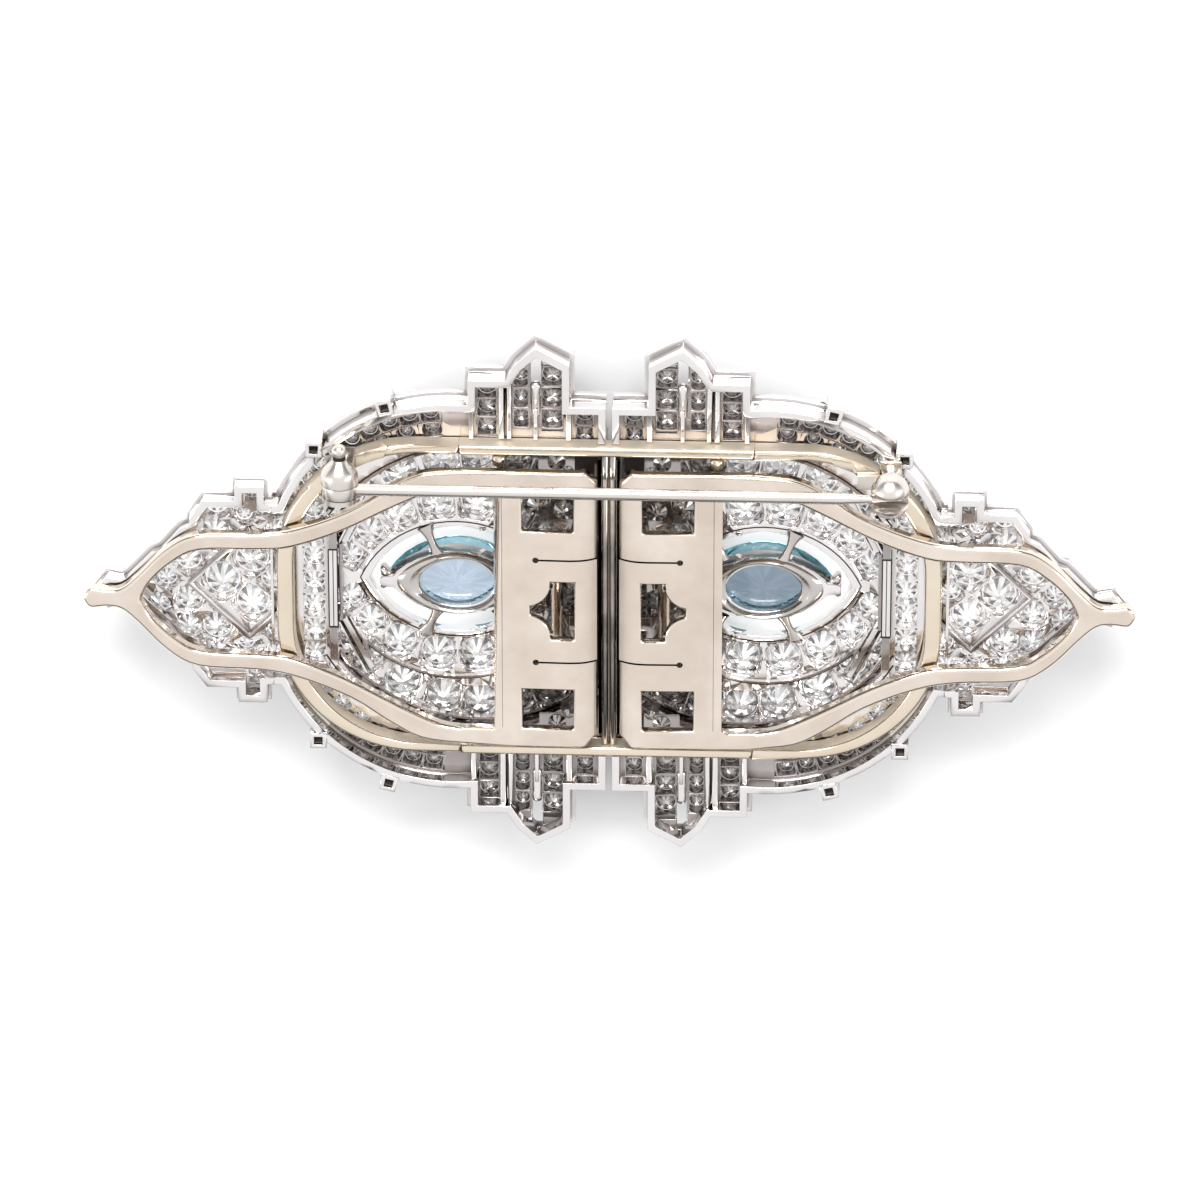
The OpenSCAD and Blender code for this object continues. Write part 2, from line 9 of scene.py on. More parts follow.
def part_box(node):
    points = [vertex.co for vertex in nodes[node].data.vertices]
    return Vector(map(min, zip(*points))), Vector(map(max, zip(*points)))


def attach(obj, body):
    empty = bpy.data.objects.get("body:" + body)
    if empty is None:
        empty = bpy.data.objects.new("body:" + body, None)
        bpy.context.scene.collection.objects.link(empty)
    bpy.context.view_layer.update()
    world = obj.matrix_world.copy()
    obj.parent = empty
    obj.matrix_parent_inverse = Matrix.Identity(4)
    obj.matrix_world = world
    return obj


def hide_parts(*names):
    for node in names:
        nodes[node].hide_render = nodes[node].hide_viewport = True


MM = 0.001
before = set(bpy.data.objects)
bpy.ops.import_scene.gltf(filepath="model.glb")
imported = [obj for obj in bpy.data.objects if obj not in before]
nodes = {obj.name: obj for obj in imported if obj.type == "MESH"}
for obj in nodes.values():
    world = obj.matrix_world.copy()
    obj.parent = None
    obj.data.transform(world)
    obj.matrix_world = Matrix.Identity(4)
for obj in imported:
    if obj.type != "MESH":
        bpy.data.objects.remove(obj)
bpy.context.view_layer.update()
scene = bpy.context.scene

# Camera
CAMERA_TARGET = Vector((0, 0, 5.0)) * MM
CAMERA_DISTANCE = 599 * MM
CAMERA_RIGHT = Vector((0.999, 0.0, -0.0422)).normalized()
CAMERA_UP = Vector((-0.0192, 0.891, -0.4536))
CAMERA_LENS = 270.3
CAMERA_SHIFT = (-0.0075, -0.0008)


def make_camera():
    back = CAMERA_RIGHT.cross(CAMERA_UP).normalized()
    up = back.cross(CAMERA_RIGHT).normalized()
    data = bpy.data.cameras.new("camera")
    data.sensor_width = 36
    data.lens = CAMERA_LENS
    data.shift_x, data.shift_y = CAMERA_SHIFT
    data.clip_start = 0.01
    data.clip_end = 10
    data.dof.use_dof = False
    camera = bpy.data.objects.new("camera", data)
    scene.collection.objects.link(camera)
    place = CAMERA_TARGET + CAMERA_DISTANCE * back
    rows = [[CAMERA_RIGHT[i], up[i], back[i], place[i]] for i in range(3)]
    camera.matrix_world = Matrix(rows + [[0, 0, 0, 1]])
    scene.camera = camera


# Materials
def rgba(colour):
    return (*colour, 1.0)


class Tree:
    """The node tree of a material or a world, with short calls for the nodes used here."""

    def __init__(self, owner, shader="Principled BSDF"):
        owner.use_nodes = True
        self.owner = owner
        self.nodes = owner.node_tree.nodes
        self.links = owner.node_tree.links
        self.shader = self.nodes[shader]

    def add(self, kind, **values):
        """A new node; each value goes to the property of that name, or else to the input."""
        node = self.nodes.new(kind)
        for key, value in values.items():
            if hasattr(node, key):
                setattr(node, key, value)
            else:
                node.inputs[key.replace("_", " ")].default_value = value
        return node

    def set(self, **values):
        """Sets the shader's inputs, with an underscore for each space in their names."""
        for key, value in values.items():
            self.shader.inputs[key.replace("_", " ")].default_value = value

    def feed(self, name, value):
        """Links a value to the shader's input of that name."""
        self.links.new(value, self.shader.inputs[name])

    def coords(self, kind="Object"):
        return self.add("ShaderNodeTexCoord").outputs[kind]

    def attribute(self, name):
        return self.add("ShaderNodeAttribute", attribute_name=name).outputs["Fac"]

    def noise(self, scale, detail, rough=0.5):
        node = self.add("ShaderNodeTexNoise", Scale=scale, Detail=detail, Roughness=rough)
        self.links.new(self.coords(), node.inputs["Vector"])
        return node.outputs["Fac"]

    def xyz(self, vector):
        node = self.add("ShaderNodeSeparateXYZ")
        self.links.new(vector, node.inputs["Vector"])
        return node.outputs

    def calc(self, operation, *values):
        """The outcome of a math node; each value is a plain number or an output to link."""
        node = self.add("ShaderNodeMath", operation=operation)
        for socket, value in zip(node.inputs, values):
            if isinstance(value, (int, float)):
                socket.default_value = value
            else:
                self.links.new(value, socket)
        return node.outputs[0]

    def product(self, a, b):
        """Colour a times b, channel by channel."""
        node = self.add("ShaderNodeVectorMath", operation="MULTIPLY")
        self.links.new(a, node.inputs[0])
        self.links.new(b, node.inputs[1])
        return node.outputs["Vector"]

    def ramp(self, value, stops):
        """A colour ramp with the given (position, colour) stops."""
        node = self.add("ShaderNodeValToRGB")
        band = node.color_ramp.elements
        while len(band) > 1:
            band.remove(band[-1])
        band[0].position, band[0].color = stops[0][0], rgba(stops[0][1])
        for place, colour in stops[1:]:
            band.new(place).color = rgba(colour)
        self.links.new(value, node.inputs["Fac"])
        return node.outputs["Color"]

    def span(self, value, low, high, to_low, to_high):
        """The value's range low to high, brought to the range to_low to to_high."""
        node = self.add("ShaderNodeMapRange", From_Min=low, From_Max=high, To_Min=to_low, To_Max=to_high)
        self.links.new(value, node.inputs["Value"])
        return node.outputs["Result"]

    def bump(self, value, strength, distance):
        node = self.add("ShaderNodeBump", Strength=strength, Distance=distance)
        self.links.new(value, node.inputs["Height"])
        self.feed("Normal", node.outputs["Normal"])


def new_tree(name):
    return Tree(bpy.data.materials.new(name))


# tones of the shade painted into the recesses of the metals
RECESS_SHADE = (0.21, 0.175, 0.155)
WARM_RECESS_SHADE = (0.34, 0.26, 0.17)
METALS = {  # light tone, dark tone, roughness, grain, wear, tone of the painted shade in the recesses, reach of the recesses in m
    "platinum": ((0.87, 0.84, 0.835), (0.77, 0.745, 0.735), 0.07, 0.04, 0.10, RECESS_SHADE, 0.0008),
    "basket_metal": ((0.66, 0.62, 0.59), (0.46, 0.43, 0.405), 0.10, 0.05, 0.12, RECESS_SHADE, 0.0008),
    # a darker copy of the platinum: painted shade under the flaps and in the channels
    "shaded_inner_metal": ((0.50, 0.465, 0.45), (0.32, 0.29, 0.28), 0.10, 0.05, 0.12, RECESS_SHADE, 0.0008),
    "white_gold": ((0.875, 0.775, 0.685), (0.70, 0.60, 0.515), 0.15, 0.12, 0.14, (0.33, 0.27, 0.22), 0.0008),
    "warm_gold": ((0.85, 0.75, 0.62), (0.77, 0.665, 0.53), 0.14, 0.05, 0.10, WARM_RECESS_SHADE, 0.001),
    # a brighter copy of the warm gold for the frame's upright sides: painted light
    "warm_side_lit": ((0.96, 0.88, 0.76), (0.86, 0.77, 0.64), 0.62, 0.05, 0.10, (0.42, 0.32, 0.20), 0.0006),
    "post_gold": ((0.76, 0.705, 0.65), (0.68, 0.62, 0.56), 0.22, 0.05, 0.10, WARM_RECESS_SHADE, 0.001),
    "pin_steel": ((0.76, 0.71, 0.665), (0.70, 0.65, 0.60), 0.24, 0.05, 0.08, RECESS_SHADE, 0.0008),
    "gold_edge": ((0.86, 0.77, 0.67), (0.79, 0.70, 0.60), 0.08, 0.0, 0.08, RECESS_SHADE, 0.0008),
    # the seam's tubes: their dark tone and very dark recesses are painted shade of the narrow gap
    "shaded_seam_metal": ((0.66, 0.62, 0.59), (0.17, 0.15, 0.14), 0.03, 0.03, 0.05, (0.02, 0.017, 0.015), 0.0014),
    # matt and darker metal inside the pegs: painted shade
    "peg_hollow_shade": ((0.62, 0.57, 0.54), (0.45, 0.41, 0.385), 0.6, 0.05, 0.15, (0.62, 0.58, 0.55), 0.0004),
    # near black: painted shade in the grooves and under the hinge's head
    "painted_recess_shade": ((0.075, 0.065, 0.06), (0.04, 0.035, 0.03), 0.45, 0.1, 0.2, RECESS_SHADE, 0.0008),
}
DIAMONDS = {  # two tints of the stone, painted glow of its brightest facets
    "diamond": ((0.96, 0.965, 0.99), (1.0, 0.995, 0.985), 0.20),
    "shaded_diamond": ((0.62, 0.60, 0.59), (0.76, 0.74, 0.73), 0.03),
}
GEMS = {  # tints from the gem's middle to its rim; the rim's tint also glows, painted light
    "left_gem": ((0.73, 0.81, 0.95), (0.68, 0.79, 0.91), (0.24, 0.53, 0.60)),
    "right_gem": ((0.38, 0.44, 0.53), (0.36, 0.45, 0.54), (0.19, 0.46, 0.53)),
}


def metal(name, light, dark, rough, grain, wear, recess, reach):
    """Polished metal: a slow change of tone, wear in the polish, a light grain, and shade painted into its
    recesses.
    """
    t = new_tree(name)
    t.set(Metallic=1.0)
    tone = t.ramp(t.noise(220, 4), [(0.3, dark), (0.7, light)])
    # the recesses are darkened by painted shade, from how occluded each point is
    hollow = t.add("ShaderNodeAmbientOcclusion", samples=5, only_local=True, Distance=reach)
    shade_in_recesses = t.ramp(hollow.outputs["AO"], [(0.26, recess), (0.84, (1, 1, 1))])
    t.feed("Base Color", t.product(tone, shade_in_recesses))
    t.feed("Roughness", t.span(t.noise(420, 3, 0.55), 0.3, 0.75, rough, rough + wear))
    if grain:
        t.bump(t.noise(300, 1), grain, 0.0002)
    return t.owner


def diamond(name, cool, warm, glow):
    """A stone whose facets differ in brightness by the mesh's own attribute, painted reflections, and whose
    brightest facets glow, painted light.
    """
    t = new_tree(name)
    t.set(Roughness=0.0, IOR=2.0, Metallic=0.5, Transmission_Weight=1.0, Emission_Color=rgba(warm))
    tint = t.ramp(t.noise(900, 2), [(0.4, cool), (0.6, warm)])
    facet = t.attribute("facet")
    t.feed("Base Color", t.product(tint, t.span(facet, 0, 1, 0.22, 1.0)))
    t.feed("Emission Strength", t.span(facet, 0.5, 1, 0.0, glow))
    return t.owner


def coloured_gem(name, heart, body, rim):
    """Pale in the middle and deeper towards the rim, where the light's way through the gem is longer: a
    painted tint. Its rim glows a little, painted light, and its facets are lighter or darker by chance,
    painted reflections.
    """
    t = new_tree(name)
    t.set(Roughness=0.0, IOR=1.58, Transmission_Weight=1.0, Emission_Color=rgba(rim))
    edge = t.attribute("edge")
    drift = t.calc("MULTIPLY_ADD", t.noise(500, 3), 0.12, edge)
    tint = t.ramp(drift, [(0.1, heart), (0.62, body), (0.98, rim)])
    t.feed("Base Color", t.product(tint, t.span(t.attribute("facet"), 0, 1, 0.76, 1.06)))
    t.feed("Emission Strength", t.span(edge, 0.86, 1.0, 0.0, 0.34))
    return t.owner


MATERIALS = {}
for make, table in ((metal, METALS), (diamond, DIAMONDS), (coloured_gem, GEMS)):
    for material_name, values in table.items():
        MATERIALS[material_name] = make(material_name, *values)


# Meshes
def mirror_of(name):
    """The right clip mirrors the left one across x = 0."""
    return -1 if name.startswith("right") else 1


def point(x, y, z, mirror=1):
    return Vector((mirror * x, y, z)) * MM


def join_parts(name, parts):
    """One mesh of parts that are each (points, faces), with its normals outward."""
    points, faces = [], []
    for some_points, some_faces in parts:
        base = len(points)
        points.extend(some_points)
        faces.extend([[base + k for k in f] for f in some_faces])
    mesh = bpy.data.meshes.new(name)
    mesh.from_pydata([tuple(p) for p in points], [], faces)
    mesh.validate()
    bm = bmesh.new()
    bm.from_mesh(mesh)
    bmesh.ops.recalc_face_normals(bm, faces=bm.faces)
    bm.to_mesh(mesh)
    bm.free()
    return mesh


def new_object(name, mesh, body, material, stands_for=()):
    piece = bpy.data.objects.new(name, mesh)
    scene.collection.objects.link(piece)
    mesh.materials.clear()
    mesh.materials.append(MATERIALS[material])
    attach(piece, body)
    if stands_for:
        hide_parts(*stands_for)
    return piece


def smooth(mesh, degrees):
    """Smooth faces, and sharp edges where the faces meet at more than that angle."""
    mesh.polygons.foreach_set("use_smooth", [True] * len(mesh.polygons))
    mesh.set_sharp_from_angle(angle=math.radians(degrees))


def flat_piece(name, parts, body, material):
    return new_object(name, join_parts(name, parts), body, material)


def smooth_piece(name, parts, body, material, degrees):
    mesh = join_parts(name, parts)
    smooth(mesh, degrees)
    return new_object(name, mesh, body, material)


def paint_faces(piece, material, wanted):
    """Gives the faces for which wanted(centre, normal) holds one more material."""
    piece.data.materials.append(MATERIALS[material])
    index = len(piece.data.materials) - 1
    for face in piece.data.polygons:
        if wanted(face.center, face.normal):
            face.material_index = index


def evaluated(piece):
    """A mesh with the object's modifiers carried out."""
    bpy.context.view_layer.update()
    return bpy.data.meshes.new_from_object(piece.evaluated_get(bpy.context.evaluated_depsgraph_get()))


def skin(rings, closed=False):
    """Points and faces of a skin over rings of equally many points; an open row of rings gets end caps."""
    count = len(rings[0])
    points = [p for ring in rings for p in ring]
    faces = []
    for i in range(len(rings) if closed else len(rings) - 1):
        b, c = count * i, count * ((i + 1) % len(rings))
        for k in range(count):
            j = (k + 1) % count
            faces.append([b + k, c + k, c + j, b + j])
    if not closed:
        faces += [list(range(count)), list(range(len(points) - count, len(points)))]
    return points, faces


def block(x0, x1, y0, y1, z0, z1):
    points = [point(x, y, z) for z in (z0, z1) for x, y in ((x0, y0), (x1, y0), (x1, y1), (x0, y1))]
    return points, [[3, 2, 1, 0], [4, 5, 6, 7], [0, 1, 5, 4], [1, 2, 6, 5], [2, 3, 7, 6], [3, 0, 4, 7]]


def lathe(profile, centre, direction, sides=24):
    """A turned piece: the profile is (distance along, radius) from centre towards direction."""
    d = Vector(direction).normalized()
    u = d.orthogonal().normalized()
    v = d.cross(u)
    turns = [2 * math.pi * k / sides for k in range(sides)]
    rings = []
    for along, radius in profile:
        middle = Vector(centre) + d * along
        rings.append([(middle + u * (radius * math.cos(q)) + v * (radius * math.sin(q))) * MM
                      for q in turns])
    return skin(rings)


def ribbon(path, width, z0, z1, mirror=1, closed=False):
    """A strip of rectangular section along a flat path."""
    n = len(path)
    rings = []
    for i, (x, y) in enumerate(path):
        before = path[i - 1] if i or closed else path[i]
        after = path[(i + 1) % n] if i < n - 1 or closed else path[i]
        d = Vector((after[0] - before[0], after[1] - before[1])).normalized()
        side = Vector((-d.y, d.x)) * width / 2
        rings.append([point(x + s * side.x, y + s * side.y, z, mirror)
                      for s, z in ((-1, z0), (1, z0), (1, z1), (-1, z1))])
    return skin(rings, closed)


def arc_path(centre, radii, a0, a1, steps=24):
    """Points about the centre from angle a0 to a1; the radius runs through the given values."""
    path = []
    for i in range(steps + 1):
        t = i / steps
        at = t * (len(radii) - 1)
        k = min(int(at), len(radii) - 2)
        r = radii[k] + (radii[k + 1] - radii[k]) * (at - k)
        a = math.radians(a0 + (a1 - a0) * t)
        path.append((centre[0] + r * math.cos(a), centre[1] + r * math.sin(a)))
    return path


def marquise(l, w, n):
    """Outline of a pointed oval of half length l and half width w, with n points on each of its arcs."""
    r = (l * l + w * w) / (2 * w)
    a = math.asin(l / r)
    turns = [2 * a * i / n for i in range(n)]
    return ([(r * math.sin(a - t), r * math.cos(a - t) - r + w) for t in turns]
            + [(r * math.sin(t - a), r - w - r * math.cos(t - a)) for t in turns])


def stones_of(node):
    """Foot and radius of each loose stone in a field, read from the frame's mesh."""
    bm = bmesh.new()
    bm.from_mesh(nodes[node].data)
    bmesh.ops.remove_doubles(bm, verts=bm.verts, dist=1e-6)
    seen, found = set(), []
    for start in bm.verts:
        if start.index in seen:
            continue
        stack, island = [start], []
        seen.add(start.index)
        while stack:
            v = stack.pop()
            island.append(v.co.copy())
            for e in v.link_edges:
                w = e.other_vert(v)
                if w.index not in seen:
                    seen.add(w.index)
                    stack.append(w)
        low = Vector([min(c[i] for c in island) for i in range(3)])
        high = Vector([max(c[i] for c in island) for i in range(3)])
        found.append((Vector(((low.x + high.x) / 2, (low.y + high.y) / 2, low.z)), (high.x - low.x) / 2))
    bm.free()
    return found


# Places on the left clip, in mm
EYE_X = -10.25  # middle of the gem
INNER_ARC = (-10.25, -2.43)  # centres of the arcs for y > 0: of the row of stones next to the eye,
OUTER_ARC = (-8.8, -0.88)  # of the row outside it,
RIM_ARC = (-10.5, 1.9)  # and of the rim
TABLE_TO_GIRDLE = 0.36  # of a stone's radius
ARM_X = -20.5  # the arm's round stones lie farther out than this
SEAM_X = -2.6  # the stones beside the seam lie nearer to it than this


# Openings behind the stones
BAR = 0.17  # width of the bars left between two openings, in mm
LOZENGE = (-24.1, 2.62, 2.93)  # centre x, and the rail's inner and outer half sides, on its corner


def cut_away(mesh, cutter):
    body = bpy.data.objects.new("to_cut", mesh)
    tool = bpy.data.objects.new("cutter", cutter)
    for o in (body, tool):
        scene.collection.objects.link(o)
    change = body.modifiers.new("cut", "BOOLEAN")
    change.operation = "DIFFERENCE"
    change.solver = "EXACT"
    change.object = tool
    done = evaluated(body)
    for o in (body, tool):
        bpy.data.objects.remove(o)
    return done


def turn_of(x, y, field):
    """Which way a stone's opening is turned, from the row it stands in."""
    if field == "arm_stones":
        return math.radians(45) if x < -21 else 0.0
    up = 1 if y > 0 else -1
    dx, dy = x - INNER_ARC[0], y - up * INNER_ARC[1]
    if abs(math.hypot(dx, dy) - 8.15) < 0.25:
        return math.atan2(dy, dx)
    return math.atan2(y - up * OUTER_ARC[1], x - OUTER_ARC[0])


def opening_rim(index, stones, field, spread, steps=28):
    """Radii of one opening, seen from behind: a square with cut corners, held off its neighbours by a bar."""
    x, y, r = stones[index]
    turn = turn_of(x, y, field)
    half = r + spread
    radii = []
    for k in range(steps):
        a = 2 * math.pi * (k + 0.5) / steps
        ca, sa = abs(math.cos(a - turn)), abs(math.sin(a - turn))
        reach = min(half / max(ca, 1e-6), half / max(sa, 1e-6), 1.25 * half)
        for j, (x2, y2, r2) in enumerate(stones):
            d = math.hypot(x2 - x, y2 - y)
            if j == index or d > 4.5:
                continue
            c = math.cos(a - math.atan2(y2 - y, x2 - x))
            if c > 0.05:
                reach = min(reach, ((d * d + r * r - r2 * r2) / (2 * d) - BAR / 2) / c)
        if field == "arm_stones" and x < -21:
            for b in (0.25, 0.75, 1.25, 1.75):
                n = (math.cos(b * math.pi), math.sin(b * math.pi))
                at = (x - LOZENGE[0]) * n[0] + y * n[1]
                c = math.cos(a - b * math.pi)
                inside = abs(x - LOZENGE[0]) + abs(y) < LOZENGE[1] * math.sqrt(2)
                if inside and c > 0.05:
                    reach = min(reach, (LOZENGE[1] - at) / c)
                if not inside and at > LOZENGE[2] and c < -0.05:
                    reach = min(reach, (at - LOZENGE[2]) / -c)
        radii.append(max(reach, r + 0.02))
    return radii


def openings_cutter(side, field, back, spread):
    """Funnels from the plate's back, at that height in mm, down to each round seat."""
    mirror = mirror_of(side)
    stones = [(low.x / MM * mirror, low.y / MM, r / MM, low.z / MM)
              for low, r in stones_of(f"{side}_{field}")]
    stones = [s for s in stones if s[0] < SEAM_X and not (field == "arm_stones" and s[0] > ARM_X)]
    flat = [s[:3] for s in stones]
    parts = []
    for i, (x, y, r, low) in enumerate(stones):
        rim = opening_rim(i, flat, field, spread)
        n = len(rim)
        bottom = max(low + TABLE_TO_GIRDLE * r + 0.06, back - 0.62)
        points = []
        for z, share in ((back + 0.03, 1.03), (back - 0.12, 0.97), (bottom, 0.0)):
            for k, reach in enumerate(rim):
                a = 2 * math.pi * (k + 0.5) / n
                radius = reach * share if share else r + 0.035
                points.append(point(x + radius * math.cos(a), y + radius * math.sin(a), z, mirror))
        faces = [list(range(n)), list(range(3 * n - 1, 2 * n - 1, -1))]
        for ring in (0, n):
            for k in range(n):
                k2 = (k + 1) % n
                faces.append([ring + k, ring + n + k, ring + n + k2, ring + k2])
        parts.append((points, faces))
    return parts


def mount_cutter(side):
    """The openings behind the round stones, and four notches where the eye's struts reach the plate."""
    parts = openings_cutter(side, "centre_stones", 2.45, 0.17)
    parts += openings_cutter(side, "arm_stones", 3.45, 0.15)
    for dx in (-1.7, 1.7):
        for up in (-1, 1):
            x = mirror_of(side) * (EYE_X + dx)
            y0, y1 = sorted((up * 2.22, up * 3.75))
            parts.append(block(x - 0.3, x + 0.3, y0, y1, 2.2, 2.95))
    return join_parts(f"{side}_openings", parts)


def frame_cutter():
    """Lowers the flat top of the centre bar, where the two tubes lie, and makes room for the catch's ball."""
    step = [(8.2, 6.4), (10.02, 6.4), (10.02, 5.86), (12.6, 5.86), (12.6, 11.5), (8.2, 11.5)]
    points = [point(x, y, z) for x in (17.0, 20.2) for y, z in step]
    faces = [list(range(6)), list(range(11, 5, -1))]
    faces += [[i, (i + 1) % 6, 6 + (i + 1) % 6, 6 + i] for i in range(6)]
    return join_parts("bar_top", [block(-0.6, 0.6, -10.75, 10.75, 5.12, 5.6), (points, faces)])


# Rounded edges
STEEP = 0.8  # rad between the faces of an edge that soften_flap rounds
CREASE = math.radians(32)  # between the faces of any other edge that is rounded


def round_edges(bm, edges, width, segments, clamp=False):
    bmesh.ops.bevel(bm, geom=edges, offset=width, offset_type="OFFSET", segments=segments, profile=0.5,
                    affect="EDGES", clamp_overlap=clamp)


def on_post(edge):
    """True for the feet of the pin's hinge and catch, which keep their edges."""
    return any(abs(abs(v.co.x) - 17.7 * MM) < 2.7 * MM and v.co.y > 8.4 * MM for v in edge.verts)


def round_frame(bm):
    """Rounds the back of the frame's band, bars and centre bar into a half-round section."""
    def on_back(edge):
        return all(5.6 * MM < v.co.z < 5.85 * MM and abs(v.co.x) < 23 * MM for v in edge.verts)

    back = [e for e in bm.edges if e.calc_face_angle(0) > math.radians(60) and on_back(e)
            and e.calc_length() > 0.3 * MM and not on_post(e)]
    round_edges(bm, back, 0.2 * MM, 4)


def in_slit(edge):
    """True for the narrow slits beside the flap's tongue, and for the lugs under it."""
    return all(abs(abs(v.co.y) - 3.8 * MM) < 0.3 * MM and abs(v.co.x) < 5.1 * MM or v.co.z < 6.2 * MM
               for v in edge.verts)


def along_y(edge, low, high, shortest):
    """True for an edge parallel to the seam, low to high mm from it, and at least so many mm long."""
    a, b = (v.co / MM for v in edge.verts)
    return all(low < abs(p.x) < high for p in (a, b)) and abs(a.x - b.x) < 0.02 and abs(a.y - b.y) > shortest


def past_plate(edge):
    """True for an edge that lies wholly on the flap's arms."""
    return all(abs(v.co.x) > 9 * MM for v in edge.verts)


def on_arm(edge):
    """True for the edges on the back of the flap's arms, which soften_flap has rounded."""
    return past_plate(edge) and any(f.normal.z > 0.3 for f in edge.link_faces)


def soften_flap(bm):
    """Joins the narrow facets beside the windows, then rounds the plate's inner edge and the arms broadly."""
    facets = [e for e in bm.edges if 2 < math.degrees(e.calc_face_angle(0)) < 7
              and (along_y(e, 2.24, 2.36, 0.3) or along_y(e, 2.03, 2.14, 0.3))]
    bmesh.ops.dissolve_edges(bm, edges=facets, use_verts=True)
    inner = [e for e in bm.edges if e.calc_face_angle(0) > STEEP and along_y(e, 7.4, 7.8, 3)
             and all(v.co.z > 6.3 * MM for v in e.verts)]
    round_edges(bm, inner, 0.5 * MM, 2)
    arms = [e for e in bm.edges if e.calc_face_angle(0) > STEEP and past_plate(e)
            and abs(e.verts[0].co.z - e.verts[1].co.z) < 0.3 * MM
            and any(f.normal.z > 0.9 for f in e.link_faces)]
    round_edges(bm, arms, 0.27 * MM, 3)


def bevelled_copy(node, width, shortest=0.0, cutter=None):
    """The node's mesh with its flat faces joined up and its edges rounded; shortest is in m."""
    flap = node.endswith("flap")
    mesh = nodes[node].data.copy()
    bm = bmesh.new()
    bm.from_mesh(mesh)
    bmesh.ops.remove_doubles(bm, verts=bm.verts, dist=2e-6)
    if cutter:
        bm.to_mesh(mesh)
        bm.free()
        mesh = cut_away(mesh, cutter)
        bm = bmesh.new()
        bm.from_mesh(mesh)
    else:
        bmesh.ops.dissolve_limit(bm, angle_limit=math.radians(0.6), verts=bm.verts, edges=bm.edges)
    if node == "brooch_frame":
        round_frame(bm)
    if flap:
        soften_flap(bm)
    sharp = [e for e in bm.edges if e.calc_face_angle(0) > CREASE and e.calc_length() > shortest
             and not (flap and (in_slit(e) or along_y(e, 6.9, 7.8, 3) or on_arm(e)))]
    round_edges(bm, sharp, width, 2, clamp=not shortest and not flap)
    bm.to_mesh(mesh)
    bm.free()
    smooth(mesh, 34)
    mesh.update()
    return mesh


# Finish of the metal
def within_rim(x, y):
    """Whether a point of the left clip's back lies inside the rim of the oval or a tower, y > 0 in mm."""
    if x < -9.3:
        return math.hypot(x - RIM_ARC[0], y - RIM_ARC[1]) < 12.0
    top = 14.25
    if x < -6.85:
        top = 16.1
    elif x < -6.2:
        top = 16.1 + (x + 6.85) * 1.69
    elif x < -4.86:
        top = 17.2 + (x + 6.2) * 0.93
    elif x < -2.6:
        top = 18.45 - (x + 4.86) * 0.55
    return y < top - 0.45 and not (y > 14 and (x < -8.9 or -3.0 < x < -2.6))


def in_shade(centre, top):
    """True deep under the flap's plate and in the channels of the rim, where shade is painted in a darker
    material.
    """
    x, y, z = -abs(centre.x) / MM, abs(centre.y) / MM, centre.z / MM
    return z < top and (x > -7.45 and y < 10.4 or x > -21 and y > 10.2 and within_rim(x, y))


# gives the faces in shade a darker material: painted shade
def paint_shade_inside(piece, material, top):
    paint_faces(piece, material, lambda centre, normal: in_shade(centre, top))


def polish_sides(piece):
    """The flap's flat back and front keep their material, and its sides and edges take a brighter one."""
    paint_faces(piece, "gold_edge",
                lambda centre, normal: abs(normal.z) < (0.97 if abs(centre.x) > 2.6 * MM else 0.78))


def frame_finish(piece):
    """The frame's upright sides are matt, in a brighter gold that is painted light, and its posts are satin.
    """
    paint_faces(piece, "warm_side_lit", lambda centre, normal: abs(normal.z) < 0.5)
    paint_faces(piece, "post_gold", lambda centre, normal: centre.z > 6.1 * MM)


def even_shading(piece):
    """Normals weighted by face area, kept in the mesh, so flat faces look flat beside rounded edges."""
    weigh = piece.modifiers.new("weigh", "WEIGHTED_NORMAL")
    weigh.keep_sharp = True
    weigh.weight = 100
    done = evaluated(piece)
    piece.modifiers.clear()
    piece.data = done


METAL_NODES = [  # node, body, record slot, material, bevel and shortest bevelled edge in mm
    ("left_mount", "brooch", "platinum", "platinum", 0.035, 0.25),
    ("right_mount", "brooch", "platinum", "platinum", 0.035, 0.25),
    ("left_flap", "left_flap", "white_gold", "white_gold", 0.15, 0.0),
    ("right_flap", "right_flap", "white_gold", "white_gold", 0.15, 0.0),
    ("brooch_frame", "brooch", "warm_gold", "warm_gold", 0.05, 0.2),
    ("needle_pin", "pin", "white_gold", "pin_steel", 0.08, 0.0),
    ("pin_rivet", "brooch", "warm_gold", "pin_steel", 0.05, 0.0),
    ("left_flap_rod", "brooch", "white_gold", "white_gold", 0.04, 0.0),
    ("right_flap_rod", "brooch", "white_gold", "white_gold", 0.04, 0.0),
]


def metal_piece(node, body, slot, material, bevel, shortest):
    cutter = None
    if node.endswith("mount"):
        cutter = mount_cutter(node.split("_")[0])
    elif node == "brooch_frame":
        cutter = frame_cutter()
    mesh = bevelled_copy(node, bevel * MM, shortest * MM, cutter)
    piece = new_object(node + "_metal", mesh, body, material, [node])
    if node.endswith("flap"):
        polish_sides(piece)
    elif node == "brooch_frame":
        frame_finish(piece)
    elif node.endswith("mount"):
        paint_shade_inside(piece, "shaded_inner_metal", 4.3)
    even_shading(piece)


# Cups, ring, struts and lines of the mounts
COLUMNS = [  # x, half the channel's width, half the spacing
    (-3.79, 0.72, 0.775), (-5.85, 0.53, 0.75), (-8.1, 0.69, 0.69), (-1.65, 0.6, 0.7),
]


